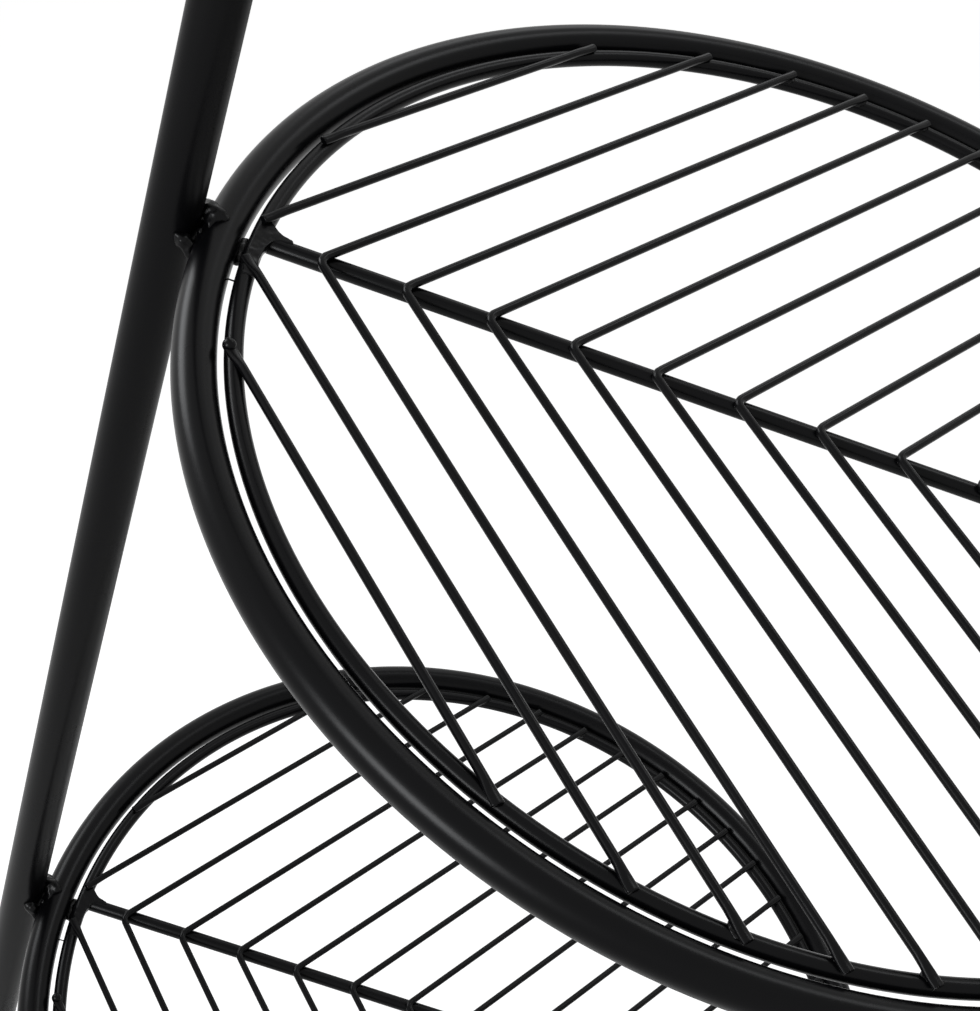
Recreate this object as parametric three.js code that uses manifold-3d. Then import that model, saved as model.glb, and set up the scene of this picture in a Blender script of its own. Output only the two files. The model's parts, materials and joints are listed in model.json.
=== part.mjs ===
// Three-tier plant stand of welded round steel: two posts, an arch across their tops, two staple-shaped
// feet, and three round trays. Each tray is a tube hoop round a rod rim that carries a grille of bent
// wires, laid out like the veins of a leaf on a rod midrib.
// Millimetres. +Z is up, X runs from the left post to the right post, and Z = 0 is the floor.

import * as THREE from 'three';
import { mergeVertices } from 'three/addons/utils/BufferGeometryUtils.js';
import Module from 'manifold-3d';

// Trays
const HOOP_RADIUS = 177;
const HOOP_DIAMETER = 12;
const RIM_GAP = 1.6;
const RIM_RISE = 1.9;
const ROD_DIAMETER = 5.2;
const WIRE_DIAMETER = 2.6;
const WIRE_OVERHANG = 0.8;
const VEIN_COUNT = 13;
const STEM_VEIN_COUNT = 2;
const FIRST_VEIN_INSET = 17.5;
const LAST_VEIN_INSET = 23.5;
const FAR_ARM_ANGLE = THREE.MathUtils.degToRad(53.3);
const NEAR_ARM_ANGLE = THREE.MathUtils.degToRad(-49.4);
const VEIN_BEND_RADIUS = 2.8;

// Posts, arch and feet
const TUBE_DIAMETER = 16;
const TUBE_WALL = 1.2;
const LOWER_TRAY_HEIGHT = 150;
const TIER_SPACING = 371;
const POST_ABOVE_UPPER_TRAY = 100;
const ARCH_LEG = 40;
const FOOT_SPAN = 350;
const FOOT_LEG = 16;
const FOOT_BEND_RADIUS = 30;
const FERRULE_LENGTH = 60;
const FERRULE_WALL = 1.5;

// Glides
const GLIDE_DIAMETER = 21;
const GLIDE_THICKNESS = 5;
const GLIDE_EDGE = 1.2;
const GLIDE_STEM_MARGIN = 2;

// Clearances
const SEAT_GAP = 0.3;
const WELD_BITE = 0.2;
const WELD_NUB_DIAMETER = 7;

// Facets
const TUBE_SIDES = 12;
const HOOP_SIDES = 8;
const ROD_SIDES = 8;
const WIRE_SIDES = 6;
const RING_STEPS = 60;
const ARCH_STEPS = 18;
const FOOT_BEND_STEPS = 5;
const VEIN_BEND_STEPS = 4;
const WELD_SIDES = 10;

// Worked out from the sizes above
const hoopTube = HOOP_DIAMETER / 2;
const rodRadius = ROD_DIAMETER / 2;
const wireRadius = WIRE_DIAMETER / 2;
const tubeRadius = TUBE_DIAMETER / 2;
const boreRadius = tubeRadius - TUBE_WALL;
const rimReach = hoopTube + RIM_GAP + rodRadius;
const rimRadius = HOOP_RADIUS - Math.sqrt(rimReach * rimReach - RIM_RISE * RIM_RISE);
const rimTop = RIM_RISE + rodRadius;
const veinHeight = rimTop + SEAT_GAP + wireRadius;
const stemVeinHeight = rimTop + wireRadius - WELD_BITE;
const wireEndRadius = rimRadius + WIRE_OVERHANG;
const firstVein = -rimRadius + FIRST_VEIN_INSET;
const lastVein = rimRadius - LAST_VEIN_INSET;
const veinPitch = (lastVein - firstVein) / (VEIN_COUNT - 1);
const postOffset = HOOP_RADIUS + hoopTube + SEAT_GAP + tubeRadius;
const footEndHeight = GLIDE_THICKNESS + SEAT_GAP;
const footHeight = footEndHeight + FOOT_LEG + FOOT_BEND_RADIUS;
const tiers = ['lower', 'middle', 'upper'];
const postTop = LOWER_TRAY_HEIGHT + (tiers.length - 1) * TIER_SPACING + POST_ABOVE_UPPER_TRAY;
const archBase = postTop + SEAT_GAP;

const powderCoatedSteel = new THREE.MeshStandardMaterial({ color: 0x1c1d1f, roughness: 0.4, metalness: 0.1 });
const bareSteel = new THREE.MeshStandardMaterial({ color: 0x8f9296, roughness: 0.35, metalness: 0.9 });
const blackPolythene = new THREE.MeshStandardMaterial({ color: 0x202122, roughness: 0.6, metalness: 0 });

const wasm = await Module();
wasm.setup();

// A path that stops exactly at its stations, with the mean direction of the two runs at each of them.
class StationPath extends THREE.Curve {
  constructor(stations) {
    super();
    this.stations = stations;
  }

  get steps() {
    return this.stations.length - 1;
  }

  getPoint(share, target = new THREE.Vector3()) {
    const place = share * this.steps;
    const start = Math.min(Math.floor(place), this.steps - 1);
    return target.lerpVectors(this.stations[start], this.stations[start + 1], place - start);
  }

  getPointAt(share, target) {
    return this.getPoint(share, target);
  }

  getTangentAt(share, target = new THREE.Vector3()) {
    const index = Math.round(share * this.steps);
    const runs = [index - 1, index].filter((run) => run >= 0 && run < this.steps);
    target.set(0, 0, 0);
    for (const run of runs) {
      const direction = new THREE.Vector3().subVectors(this.stations[run + 1], this.stations[run]);
      target.add(direction.normalize());
    }
    return target.normalize();
  }
}

function roundSection(radius) {
  const section = new THREE.Shape();
  section.absarc(0, 0, radius, 0, 2 * Math.PI, false);
  return section;
}

function tubeSection(outerRadius, innerRadius) {
  const section = roundSection(outerRadius);
  const bore = new THREE.Path();
  bore.absarc(0, 0, innerRadius, 0, 2 * Math.PI, true);
  section.holes.push(bore);
  return section;
}

// A full circle takes two points for each curve segment.
function sweep(section, sides, stations) {
  const path = new StationPath(stations);
  return new THREE.ExtrudeGeometry(section, {
    extrudePath: path,
    steps: path.steps,
    curveSegments: sides / 2,
    bevelEnabled: false,
  });
}

function toSolid(geometry) {
  const bare = geometry.clone();
  bare.deleteAttribute('normal');
  bare.deleteAttribute('uv');
  const merged = mergeVertices(bare);
  return new wasm.Manifold(new wasm.Mesh({
    numProp: 3,
    vertProperties: new Float32Array(merged.attributes.position.array),
    triVerts: new Uint32Array(merged.index.array),
  }));
}

function toGeometry(solid) {
  const mesh = solid.getMesh();
  const geometry = new THREE.BufferGeometry();
  geometry.setAttribute('position', new THREE.BufferAttribute(mesh.vertProperties, 3));
  geometry.setIndex(new THREE.BufferAttribute(mesh.triVerts, 1));
  geometry.computeVertexNormals();
  return geometry;
}

const stand = new THREE.Group();

function addPiece(parent, name, geometry, material, x = 0, y = 0) {
  const piece = new THREE.Mesh(geometry, material);
  piece.name = name;
  piece.position.set(x, y, 0);
  parent.add(piece);
}

// Points of an arc in the plane of two unit vectors, from one angle to another, both ends included.
function arcPoints(centre, across, up, radius, startAngle, endAngle, steps) {
  const points = [];
  for (let step = 0; step <= steps; step += 1) {
    const angle = startAngle + (endAngle - startAngle) * step / steps;
    const point = centre.clone();
    point.addScaledVector(across, radius * Math.cos(angle));
    point.addScaledVector(up, radius * Math.sin(angle));
    points.push(point);
  }
  return points;
}

const axisX = new THREE.Vector3(1, 0, 0);
const axisY = new THREE.Vector3(0, 1, 0);
const axisZ = new THREE.Vector3(0, 0, 1);

// Distances along a slanting arm, from its corner on the midrib's line, to the circle where wires end.
function armCrossings(corner, armAngle) {
  const middle = -corner * Math.cos(armAngle);
  const offset = corner * Math.sin(armAngle);
  const half = Math.sqrt(wireEndRadius * wireEndRadius - offset * offset);
  return [middle - half, middle + half];
}

function armPoint(corner, distance, armAngle, height) {
  const x = corner + distance * Math.cos(armAngle);
  const y = distance * Math.sin(armAngle);
  return new THREE.Vector3(x, y, height);
}

// One wire bent to a V, with its bend on the midrib and its two ends on the rim.
function veinGeometry(corner) {
  const bisector = (FAR_ARM_ANGLE + NEAR_ARM_ANGLE) / 2;
  const centreDistance = VEIN_BEND_RADIUS / Math.sin((FAR_ARM_ANGLE - NEAR_ARM_ANGLE) / 2);
  const bend = arcPoints(
    armPoint(corner, centreDistance, bisector, veinHeight),
    axisX,
    axisY,
    VEIN_BEND_RADIUS,
    Math.PI / 2 + FAR_ARM_ANGLE,
    3 * Math.PI / 2 + NEAR_ARM_ANGLE,
    VEIN_BEND_STEPS,
  );
  const [, farReach] = armCrossings(corner, FAR_ARM_ANGLE);
  const [, nearReach] = armCrossings(corner, NEAR_ARM_ANGLE);
  const farEnd = armPoint(corner, farReach, FAR_ARM_ANGLE, veinHeight);
  const nearEnd = armPoint(corner, nearReach, NEAR_ARM_ANGLE, veinHeight);
  return sweep(roundSection(wireRadius), WIRE_SIDES, [farEnd, ...bend, nearEnd]);
}

// Near the left post the corners fall outside the rim, so each side has a straight wire of its own.
function stemWireSolids() {
  const solids = [];
  for (let index = 1; index <= STEM_VEIN_COUNT; index += 1) {
    const corner = firstVein - index * veinPitch;
    for (const armAngle of [FAR_ARM_ANGLE, NEAR_ARM_ANGLE]) {
      const [start, end] = armCrossings(corner, armAngle);
      const stations = [
        armPoint(corner, start, armAngle, stemVeinHeight),
        armPoint(corner, end, armAngle, stemVeinHeight),
      ];
      solids.push(toSolid(sweep(roundSection(wireRadius), WIRE_SIDES, stations)));
    }
  }
  return solids;
}

// The rim's two weld nubs bridge its gap to the hoop, at the left and right posts.
function rimGeometry() {
  const ring = new THREE.TorusGeometry(rimRadius, rodRadius, ROD_SIDES, RING_STEPS);
  const hoopClearance = new THREE.TorusGeometry(HOOP_RADIUS, hoopTube + SEAT_GAP, HOOP_SIDES, RING_STEPS);
  const clearance = toSolid(hoopClearance);
  let rim = toSolid(ring.translate(0, 0, RIM_RISE));
  for (const side of [-1, 1]) {
    const nub = new THREE.SphereGeometry(WELD_NUB_DIAMETER / 2, WELD_SIDES, WELD_SIDES / 2);
    const nubRadius = rimRadius + rodRadius;
    const nubSolid = toSolid(nub.translate(side * nubRadius, 0, RIM_RISE / 2));
    rim = rim.add(nubSolid.subtract(clearance));
  }
  for (const wire of stemWireSolids()) {
    rim = rim.add(wire);
  }
  return toGeometry(rim);
}

function midribGeometry() {
  const reach = rimRadius - rodRadius - SEAT_GAP;
  const stations = [new THREE.Vector3(-reach, 0, RIM_RISE), new THREE.Vector3(reach, 0, RIM_RISE)];
  return sweep(roundSection(rodRadius), ROD_SIDES, stations);
}

function addTray(tier, height) {
  const tray = new THREE.Group();
  tray.position.z = height;
  stand.add(tray);
  const hoop = new THREE.TorusGeometry(HOOP_RADIUS, hoopTube, HOOP_SIDES, RING_STEPS);
  addPiece(tray, `${tier}_tray_hoop`, hoop, powderCoatedSteel);
  addPiece(tray, `${tier}_tray_rim`, rimGeometry(), powderCoatedSteel);
  addPiece(tray, `${tier}_tray_midrib`, midribGeometry(), powderCoatedSteel);
  for (let index = 0; index < VEIN_COUNT; index += 1) {
    const number = String(index + 1).padStart(2, '0');
    const corner = firstVein + index * veinPitch;
    addPiece(tray, `${tier}_tray_vein_${number}`, veinGeometry(corner), powderCoatedSteel);
  }
}

// A foot is a tube bent like a staple: its two ends point down, and the post stands on its middle.
function footStations() {
  const halfSpan = FOOT_SPAN / 2;
  const bendLevel = footHeight - FOOT_BEND_RADIUS;
  const farCentre = new THREE.Vector3(0, halfSpan - FOOT_BEND_RADIUS, bendLevel);
  const nearCentre = new THREE.Vector3(0, FOOT_BEND_RADIUS - halfSpan, bendLevel);
  const quarter = Math.PI / 2;
  return [
    new THREE.Vector3(0, halfSpan, footEndHeight),
    ...arcPoints(farCentre, axisY, axisZ, FOOT_BEND_RADIUS, 0, quarter, FOOT_BEND_STEPS),
    ...arcPoints(nearCentre, axisY, axisZ, FOOT_BEND_RADIUS, quarter, 2 * quarter, FOOT_BEND_STEPS),
    new THREE.Vector3(0, -halfSpan, footEndHeight),
  ];
}

function footGeometry() {
  return sweep(tubeSection(tubeRadius, boreRadius), TUBE_SIDES, footStations());
}

// A post's lower end is coped to sit round the foot.
function postGeometry() {
  const stations = [new THREE.Vector3(0, 0, footHeight), new THREE.Vector3(0, 0, postTop)];
  const blank = sweep(tubeSection(tubeRadius, boreRadius), TUBE_SIDES, stations);
  const copeRadius = tubeRadius + SEAT_GAP;
  const cope = new THREE.CylinderGeometry(copeRadius, copeRadius, FOOT_SPAN, 2 * TUBE_SIDES);
  return toGeometry(toSolid(blank).subtract(toSolid(cope.translate(0, 0, footHeight))));
}

// Straight legs at the arch's ends let a straight ferrule slide half its length into each of them.
function archGeometry() {
  const centre = new THREE.Vector3(0, 0, archBase + ARCH_LEG);
  const stations = [
    new THREE.Vector3(-postOffset, 0, archBase),
    ...arcPoints(centre, axisX, axisZ, postOffset, Math.PI, 0, ARCH_STEPS),
    new THREE.Vector3(postOffset, 0, archBase),
  ];
  return sweep(tubeSection(tubeRadius, boreRadius), TUBE_SIDES, stations);
}

function ferruleGeometry() {
  const radius = boreRadius - SEAT_GAP;
  const middle = (postTop + archBase) / 2;
  const stations = [
    new THREE.Vector3(0, 0, middle - FERRULE_LENGTH / 2),
    new THREE.Vector3(0, 0, middle + FERRULE_LENGTH / 2),
  ];
  return sweep(tubeSection(radius, radius - FERRULE_WALL), TUBE_SIDES, stations);
}

function glideGeometry() {
  const edge = GLIDE_DIAMETER / 2;
  const stem = boreRadius - SEAT_GAP;
  const stemTop = footEndHeight + FOOT_LEG - GLIDE_STEM_MARGIN;
  const profile = [
    new THREE.Vector2(0, 0),
    new THREE.Vector2(edge - GLIDE_EDGE, 0),
    new THREE.Vector2(edge, GLIDE_EDGE),
    new THREE.Vector2(edge, GLIDE_THICKNESS),
    new THREE.Vector2(stem, GLIDE_THICKNESS),
    new THREE.Vector2(stem, stemTop),
    new THREE.Vector2(0, stemTop),
  ];
  return new THREE.LatheGeometry(profile, TUBE_SIDES).rotateX(Math.PI / 2);
}

for (const [index, tier] of tiers.entries()) {
  addTray(tier, LOWER_TRAY_HEIGHT + index * TIER_SPACING);
}
for (const [side, x] of [['left', -postOffset], ['right', postOffset]]) {
  addPiece(stand, `${side}_foot`, footGeometry(), powderCoatedSteel, x);
  addPiece(stand, `${side}_post`, postGeometry(), powderCoatedSteel, x);
  addPiece(stand, `${side}_arch_ferrule`, ferruleGeometry(), bareSteel, x);
  addPiece(stand, `${side}_front_glide`, glideGeometry(), blackPolythene, x, -FOOT_SPAN / 2);
  addPiece(stand, `${side}_back_glide`, glideGeometry(), blackPolythene, x, FOOT_SPAN / 2);
}
addPiece(stand, 'top_arch', archGeometry(), powderCoatedSteel);

export default stand;
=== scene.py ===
"""Tiered plant stand: looks for the three-tier stand of welded, powder-coated steel.

Sizes are in metres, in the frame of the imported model: +Z is up, X runs from the left post to the right post,
and Z = 0 is the floor.
"""

import json
import math
import random
from functools import partial

import bmesh
import bpy
from bpy.props import FloatProperty, FloatVectorProperty, IntProperty, PointerProperty
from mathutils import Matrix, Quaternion, Vector, noise

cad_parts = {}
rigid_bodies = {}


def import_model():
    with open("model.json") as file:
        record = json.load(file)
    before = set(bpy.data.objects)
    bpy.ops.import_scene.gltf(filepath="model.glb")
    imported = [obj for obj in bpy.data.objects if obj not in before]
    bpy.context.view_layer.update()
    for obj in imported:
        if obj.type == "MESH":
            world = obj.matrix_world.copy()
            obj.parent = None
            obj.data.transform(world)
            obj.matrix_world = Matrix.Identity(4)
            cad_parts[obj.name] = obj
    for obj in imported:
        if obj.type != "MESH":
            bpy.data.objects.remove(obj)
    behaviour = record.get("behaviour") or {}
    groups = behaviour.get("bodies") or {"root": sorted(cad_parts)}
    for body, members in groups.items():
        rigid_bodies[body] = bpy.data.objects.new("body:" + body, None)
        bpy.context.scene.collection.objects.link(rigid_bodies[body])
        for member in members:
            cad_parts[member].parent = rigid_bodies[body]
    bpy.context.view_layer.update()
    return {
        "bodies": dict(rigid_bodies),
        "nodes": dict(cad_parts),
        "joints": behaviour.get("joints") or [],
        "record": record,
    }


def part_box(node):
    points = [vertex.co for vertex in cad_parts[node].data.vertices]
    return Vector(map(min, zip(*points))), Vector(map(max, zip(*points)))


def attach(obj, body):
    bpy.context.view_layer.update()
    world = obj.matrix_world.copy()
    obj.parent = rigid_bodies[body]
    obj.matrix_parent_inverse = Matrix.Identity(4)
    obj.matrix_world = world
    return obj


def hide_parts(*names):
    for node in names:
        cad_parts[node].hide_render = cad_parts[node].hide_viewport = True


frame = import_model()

bl_info = {
    "name": "Tiered Plant Stand",
    "version": (1, 0, 0),
    "blender": (4, 5, 0),
    "location": "View3D > Sidebar > Plant Stand",
    "description": "Builds a three-tier plant stand of welded steel tube, rod and wire",
    "category": "Add Mesh",
}

MM = 0.001
TIERS = ("lower", "middle", "upper")
SIDES = (("left", -1), ("right", 1))
X_AXIS = Vector((1, 0, 0))
Y_AXIS = Vector((0, 1, 0))
Z_AXIS = Vector((0, 0, 1))
QUARTER = (0, math.pi / 4, math.pi / 2)

# Kinds of node that come up often.
NOISE = "ShaderNodeTexNoise"
MIX = "ShaderNodeMix"
BUMP = "ShaderNodeBump"
MATH = "ShaderNodeMath"
VECTOR_MATH = "ShaderNodeVectorMath"
MAP_RANGE = "ShaderNodeMapRange"
COMBINE = "ShaderNodeCombineXYZ"
COORDINATES = "ShaderNodeTexCoord"
PRINCIPLED = "ShaderNodeBsdfPrincipled"
OUTPUT = "ShaderNodeOutputMaterial"
MOVE = "GeometryNodeSetPosition"
RANDOM = "FunctionNodeRandomValue"

# Steps along the meshes, and sides round them.
RING_STEPS = 300
ARCH_STEPS = 96
BEND_STEPS = 16
POST_SIDES = 64
TUBE_SIDES = 48
FERRULE_SIDES = 40
HOOP_SIDES = 36
ROD_SIDES = 24
WIRE_SIDES = 14
HAIR_SIDES = 8

# A wire's end is pressed fully up to the first distance from its tip, and not at all beyond the second.
PRESS_FULL = 2 * MM
PRESS_FADE = 9 * MM
PRESS_FLATTEN = 0.8
PRESS_SINK = 0.5 * MM


# Sizes and colours

def node_middle(name):
    low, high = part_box(name)
    return (low + high) / 2


def tier_height(tier):
    """Height of a tray: the middle of its hoop's tube."""
    return node_middle(tier + "_tray_hoop").z


POST_X = node_middle("right_post").x
POST_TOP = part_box("right_post")[1].z
ARCH_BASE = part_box("top_arch")[0].z
FOOT_LOW, FOOT_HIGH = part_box("right_foot")
MIDRIB_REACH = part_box("upper_tray_midrib")[1].x


def length(name, description, default):
    return FloatProperty(name=name, description=description, default=default, unit="LENGTH", precision=5)


def position(name, description, default):
    return FloatVectorProperty(name=name, description=description, default=default, size=len(default),
                               unit="LENGTH", precision=5)


def amount(name, description, default):
    return FloatProperty(name=name, description=description, default=default)


def angle(name, description, degrees):
    return FloatProperty(name=name, description=description, default=math.radians(degrees), unit="ROTATION")


def linear(code):
    """An sRGB hex colour as linear RGB."""
    values = [int(code[place:place + 2], 16) / 255 for place in (1, 3, 5)]
    return [v / 12.92 if v <= 0.04045 else ((v + 0.055) / 1.055) ** 2.4 for v in values]


def colour(name, description, code):
    return FloatVectorProperty(name=name, description=description, default=linear(code), subtype="COLOR")


class TraySizes(bpy.types.PropertyGroup):
    hoop_radius: length("Hoop radius", "From the tray's middle to the middle of the hoop's tube", 0.177)
    hoop_diameter: length("Hoop tube", "Outer diameter of the hoop's tube", 0.012)
    rim_radius: length("Rim radius", "From the tray's middle to the middle of the rim's rod", 0.16698)
    rim_rise: length("Rim rise", "How far the rim and midrib lie above the hoop's middle", 0.0019)
    rod_diameter: length("Rod", "Diameter of the rim's and midrib's rod", 0.0052)
    wire_diameter: length("Wire", "Diameter of the vein wires", 0.0026)
    cut_edge: length("Cut edge", "Round on the cut end of a rod or straight wire", 0.0003)
    wire_reach: length("Far wire circle", "Radius of the circle where the far ends are cut off", 0.16778)
    near_reach: length("Near wire circle", "Radius of the circle where the near ends are cut off", 0.16900)
    wire_rise: length("Wire rise", "How far the wires' middle lies above the hoop's middle", 0.0058)
    far_angle: angle("Far arm", "From +X to a vein's far arm", 53.3)
    near_angle: angle("Near arm", "From +X to a vein's near arm", -49.4)
    corner_turn: angle("Corner turn", "Turn of the veins' corner line out of the X axis, set by hand", 0.71)
    midrib_shift: length("Midrib shift", "How far the midrib lies behind the X axis, set by hand", 0.0014)
    vein_bend: length("Vein bend", "Bend radius of a vein's middle line", 0.0030)
    first_vein: length("First vein", "Corner of the vein next to the left post", -0.14948)
    vein_pitch: length("Vein pitch", "Distance along the midrib from vein to vein", 0.024413)
    vein_count: IntProperty(name="Veins", description="Bent wires on a tray", default=13)
    stem_count: IntProperty(name="Stem wires", description="Straight wires on each side", default=2)
    hand_bend: length("Hand bend", "Most that a wire's arm bows out of straight", 0.0004)
    near_press: amount("Near press", "How much the welder widens a near end", 0.36)
    far_press: amount("Far press", "How much the welder widens a far end", 0.16)


class TubeSizes(bpy.types.PropertyGroup):
    diameter: length("Tube", "Outer diameter of posts, arch and feet", 0.016)
    wall: length("Wall", "Wall of posts, arch and feet", 0.0012)
    cut_edge: length("Cut edge", "Round on a tube's cut end", 0.0004)
    cope_clearance: length("Cope clearance", "Between a post's coped end and its foot", 0.0003)
    foot_bend: length("Foot bend", "Bend radius of a foot's middle line", 0.030)
    ferrule_clearance: length("Ferrule clearance", "Between a ferrule and the bore round it", 0.0003)
    ferrule_wall: length("Ferrule wall", "Wall of the joining ferrules", 0.0015)
    glide_flange: length("Glide flange", "Diameter of a glide's flange", 0.021)
    glide_thickness: length("Glide thickness", "Thickness of a glide's flange", 0.005)


class WeldSizes(bpy.types.PropertyGroup):
    nugget_length: length("Nugget length", "Length of a small weld under a wire", 0.0048)
    nugget_width: length("Nugget width", "Width of a small weld under a wire", 0.0033)
    nugget_thickness: length("Nugget thickness", "Thickness of a small weld under a wire", 0.0019)
    nugget_inset: length("Nugget inset", "How far the end nuggets lie inside the rim's middle line", 0.0008)
    nugget_sink: length("Nugget sink", "How far a nugget's middle lies below the rim's top", 0.00045)
    bend_offset: length("Bend offset", "From a vein's corner to the nugget in its bend", 0.0016)
    bead_voxel: length("Bead voxel", "Fineness of the fused beads and webs", 0.0003)
    bead_roughness: length("Bead roughness", "Height of the bumps on the beads", 0.0005)
    bead_grain: length("Bead grain", "Size of the bumps on the beads", 0.0032)
    web_roughness: length("Web roughness", "Height of the bumps on the webs", 0.00012)
    web_grain: length("Web grain", "Size of the bumps on the webs", 0.0025)
    web_underside: length("Web underside", "How far a web's underside lies above the hoop's middle", 0.0012)
    web_crown: length("Web crown", "How far a web stands above the rim's top", 0.0002)
    foot_bead: length("Foot bead", "Radius of the bead round a foot's joint", 0.00135)
    foot_voxel: length("Foot voxel", "Fineness of the bead round a foot's joint", 0.0004)
    foot_roughness: length("Foot roughness", "Height of the bumps on that bead", 0.00025)
    foot_grain: length("Foot grain", "Size of the bumps on that bead", 0.0016)


class FinishColours(bpy.types.PropertyGroup):
    coat: colour("Powder coat", "Black of the powder coat", "#040405")
    steel: colour("Bare steel", "Colour of uncoated steel", "#96989B")
    polythene: colour("Polythene", "Black of the moulded glides", "#1A1A1B")
    floor_dark: colour("Floor, darker", "Darker shade of the floor's mottling", "#E9E9E8")
    floor_light: colour("Floor, lighter", "Lighter shade of the floor's mottling", "#EFEFEE")


class StageSizes(bpy.types.PropertyGroup):
    floor_radius: length("Floor radius", "Radius of the pale floor", 9.0)
    lens: amount("Lens", "Focal length of the camera's lens in millimetres", 71.25)
    roll: angle("Camera roll", "Turn of the camera about its own axis", 23.64)
    camera_place: position("Camera place", "Where the camera stands", (-0.12623, -0.41579, 1.26335))
    camera_target: position("Camera target", "X and Y of what the camera faces", (-0.08616, -0.06314))
    lamp_strength: amount("Lamps", "Factor on the power of all lamps", 1.0)
    lamp_spread: angle("Lamp spread", "Full angle of the grids on the softboxes", 76)
    lamp_aim: position("Lamp aim", "Point that all lamps face", (0.0, 0.0, 0.85))
    lamp_colour: FloatVectorProperty(name="Lamp colour", description="Slightly cool light of the softboxes",
                                     default=(0.96, 0.98, 1.0), subtype="COLOR")
    floor_lift: amount("Floor lift", "Light of the floor where it is background", 0.75)
    world_light: amount("World", "Light of the world on the stand", 0.25)


# Materials

def rgba(base, factor=1.0):
    """A linear colour, made lighter or darker by a factor, for a colour socket."""
    return [min(1.0, factor * v) for v in base] + [1.0]


def add_node(tree, kind, *values, output=0, **named):
    """Adds a node, sets or links what is given, and returns one of its outputs.

    Values go to its first inputs. Of the names, those with a capital are inputs, those of an underscore and a
    number are inputs by their number, and the others are the node's own settings.
    """
    node = tree.nodes.new(kind)
    inputs = dict(enumerate(values))
    for name, value in named.items():
        if name[0].islower():
            setattr(node, name, value)
        else:
            inputs[int(name[1:]) if name[0] == "_" else name.replace("_", " ")] = value
    for key, value in inputs.items():
        socket = node.inputs[key]
        if isinstance(value, bpy.types.NodeSocket):
            tree.links.new(value, socket)
        else:
            socket.default_value = value
    return node.outputs[output] if node.outputs else None


def new_material(name):
    """An empty material, with the function that adds a node to it."""
    material = bpy.data.materials.new(name)
    material.use_nodes = True
    material.node_tree.nodes.clear()
    return material, partial(add_node, material.node_tree)


def black_powder_coat(colours):
    """Polyester powder, sprayed on steel and baked: near black and satin, with a broad soft highlight.

    The film flows out to a faint orange peel with cells of about 1.8 mm, over a grain of about 0.3 mm. It
    mirrors less than such a film does, so that the white surround doesn't turn the tubes grey.
    """
    material, add = new_material("satin_black_powder_coat")
    place = add(COORDINATES, output="Object")
    drift = add(NOISE, Vector=place, Scale=1 / (45 * MM), Detail=2.0)
    peel = add(NOISE, Vector=place, Scale=1 / (1.8 * MM), Detail=1.0)
    grain = add(NOISE, Vector=place, Scale=1 / (0.3 * MM), Detail=2.0)
    shade = add(MIX, drift, _6=rgba(colours.coat), _7=rgba(colours.coat, 1.4), data_type="RGBA", output=2)
    # This noise seldom leaves 0.3 to 0.7, so that range is spread over the roughness, here and on the welds.
    gloss = add(MAP_RANGE, drift, From_Min=0.3, From_Max=0.7, To_Min=0.26, To_Max=0.30)
    fine = add(BUMP, Height=grain, Strength=0.2, Distance=0.01 * MM)
    bump = add(BUMP, Height=peel, Strength=0.25, Distance=0.04 * MM, Normal=fine)
    shader = add(PRINCIPLED, Base_Color=shade, Roughness=gloss, Normal=bump, IOR=1.5, Specular_IOR_Level=0.1)
    add(OUTPUT, Surface=shader)
    return material


def coated_weld(colours):
    """The same powder run over rough weld metal: thick and uneven in the ripples, with small glints."""
    material, add = new_material("glossy_powder_coat_on_weld")
    place = add(COORDINATES, output="Object")
    ripple = add(NOISE, Vector=place, Scale=1 / (1.1 * MM), Detail=3.0)
    gloss = add(MAP_RANGE, ripple, From_Min=0.3, From_Max=0.7, To_Min=0.24, To_Max=0.38)
    bump = add(BUMP, Height=ripple, Strength=0.2, Distance=0.05 * MM)
    shader = add(PRINCIPLED, Base_Color=rgba(colours.coat), Roughness=gloss, Normal=bump, IOR=1.5,
                 Specular_IOR_Level=0.12)
    add(OUTPUT, Surface=shader)
    return material


def drawn_steel(colours):
    """Cold-drawn steel tube, left bare where it slides into another tube: grey, with fine lines along it."""
    material, add = new_material("bare_drawn_steel")
    place = add(COORDINATES, output="Object")
    along = add("ShaderNodeMapping", Vector=place, Scale=(1.0, 1.0, 0.03))
    lines = add(NOISE, Vector=along, Scale=1 / (0.4 * MM), Detail=3.0)
    shade = add(MIX, lines, _6=rgba(colours.steel, 0.7), _7=rgba(colours.steel), data_type="RGBA", output=2)
    bump = add(BUMP, Height=lines, Strength=0.3, Distance=0.01 * MM)
    shader = add(PRINCIPLED, Base_Color=shade, Metallic=1.0, Roughness=0.34, Normal=bump)
    add(OUTPUT, Surface=shader)
    return material


def moulded_polythene(colours):
    """Low-density polythene, moulded with a spark-eroded skin: dull black with a fine even grain."""
    material, add = new_material("black_moulded_polythene")
    place = add(COORDINATES, output="Object")
    grain = add(NOISE, Vector=place, Scale=1 / (0.5 * MM), Detail=2.0)
    scuff = add(NOISE, Vector=place, Scale=1 / (6 * MM), Detail=4.0)
    worn = rgba(colours.polythene, 1.8)
    shade = add(MIX, scuff, _6=rgba(colours.polythene), _7=worn, data_type="RGBA", output=2)
    bump = add(BUMP, Height=grain, Strength=0.5, Distance=0.04 * MM)
    shader = add(PRINCIPLED, Base_Color=shade, Roughness=0.62, Normal=bump, IOR=1.51)
    add(OUTPUT, Surface=shader)
    return material


def material_named(name):
    """The finish of that name, made when it is first asked for."""
    makers = {
        "satin_black_powder_coat": black_powder_coat,
        "glossy_powder_coat_on_weld": coated_weld,
        "bare_drawn_steel": drawn_steel,
        "black_moulded_polythene": moulded_polythene,
    }
    found = bpy.data.materials.get(name)
    return found or makers[name](bpy.context.scene.stand_colours)


# Mesh helpers

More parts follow.
